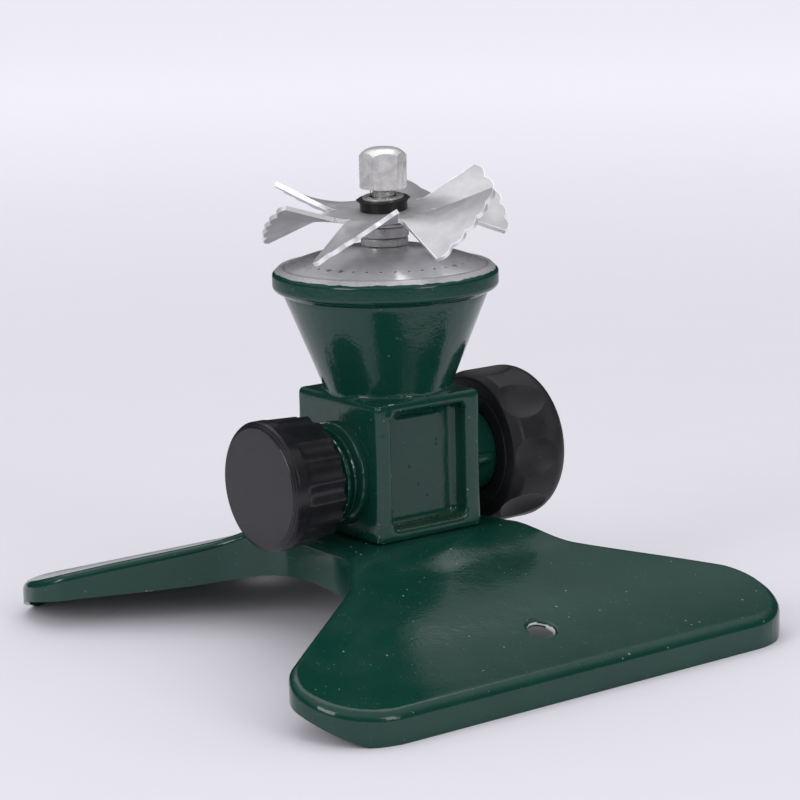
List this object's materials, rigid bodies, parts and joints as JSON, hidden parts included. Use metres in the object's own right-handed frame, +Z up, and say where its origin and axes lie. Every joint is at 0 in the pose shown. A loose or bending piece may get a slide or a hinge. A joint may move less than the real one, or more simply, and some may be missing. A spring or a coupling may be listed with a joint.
{
  "type": "lawn sprinkler",
  "caption": "Whirling lawn sprinkler: a twisted-blade rotor over a jet disc on a cast bell, with in-line hose inlet, capped outlet and arched stand.",
  "frame": {"origin": "on the spindle axis at ground level, the middle of the stand's footprint", "axes": "+Z up along the spindle; +X along the hose axis towards the inlet's swivel nut; +Y completes the frame, towards the back foot"},
  "size_m": [0.1544, 0.1682, 0.1324],
  "materials": {
    "green_enamel": "gloss",
    "spun_aluminium": "polished",
    "rotor_aluminium": "satin",
    "bright_steel": "polished",
    "plain_steel": "brushed",
    "zinc_screws": "satin",
    "black_nylon": "matt",
    "cap_plastic": "gloss",
    "grip_rubber": "satin",
    "core_plastic": "satin",
    "seal_rubber": "matt",
    "tail_brass": "satin"
  },
  "bodies": {
    "sprinkler_body": {"stand_base": "green_enamel", "body_casting": "green_enamel", "base_screws": "zinc_screws", "base_washers": "zinc_screws", "jet_disc": "spun_aluminium", "disc_gasket": "seal_rubber", "spindle_stud": "plain_steel", "stud_o_ring": "seal_rubber", "disc_clamp_nut": "bright_steel", "spacer_collar": "bright_steel", "acorn_nut": "bright_steel", "swivel_tailpiece": "tail_brass"},
    "thrust_washer": {"thrust_washer": "plain_steel"},
    "top_washer": {"top_washer": "plain_steel"},
    "rotor": {"rotor_blades": "rotor_aluminium", "rotor_bush": "black_nylon"},
    "cap_washer": {"cap_washer": "seal_rubber"},
    "end_cap": {"end_cap": "cap_plastic"},
    "swivel_nut": {"swivel_core": "core_plastic", "swivel_grip": "grip_rubber", "hose_washer": "seal_rubber", "inlet_screen": "plain_steel"}
  },
  "joints": [
    {"name": "rotor_lift", "type": "slide", "parent": "sprinkler_body", "child": "thrust_washer", "axis": [0, 0, 1], "range_m": [0, 0.0012]},
    {"name": "rotor_rock", "type": "hinge", "parent": "thrust_washer", "child": "top_washer", "pos_m": [0, 0, 0.11563], "axis": [-0.454, 0.891, 0], "range_deg": [0, 11.12]},
    {"name": "rotor_spin", "type": "hinge", "parent": "top_washer", "child": "rotor", "pos_m": [0, 0, 0.11563], "axis": [-0.0863, -0.044, 0.9953], "continuous": true},
    {"name": "cap_turn", "type": "hinge", "parent": "cap_washer", "child": "end_cap", "pos_m": [-0.035, 0, 0.04545], "axis": [-1, 0, 0], "range_deg": [0, 1440]},
    {"name": "cap_travel", "type": "slide", "parent": "sprinkler_body", "child": "cap_washer", "axis": [-1, 0, 0], "range_m": [0, 0.0089]},
    {"name": "inlet_swivel", "type": "hinge", "parent": "sprinkler_body", "child": "swivel_nut", "pos_m": [0.037, 0, 0.04545], "axis": [1, 0, 0], "continuous": true}
  ],
  "couplings": [
    {"joint": "cap_travel", "follows": "cap_turn", "m_per_rad": 0.00035157}
  ]
}
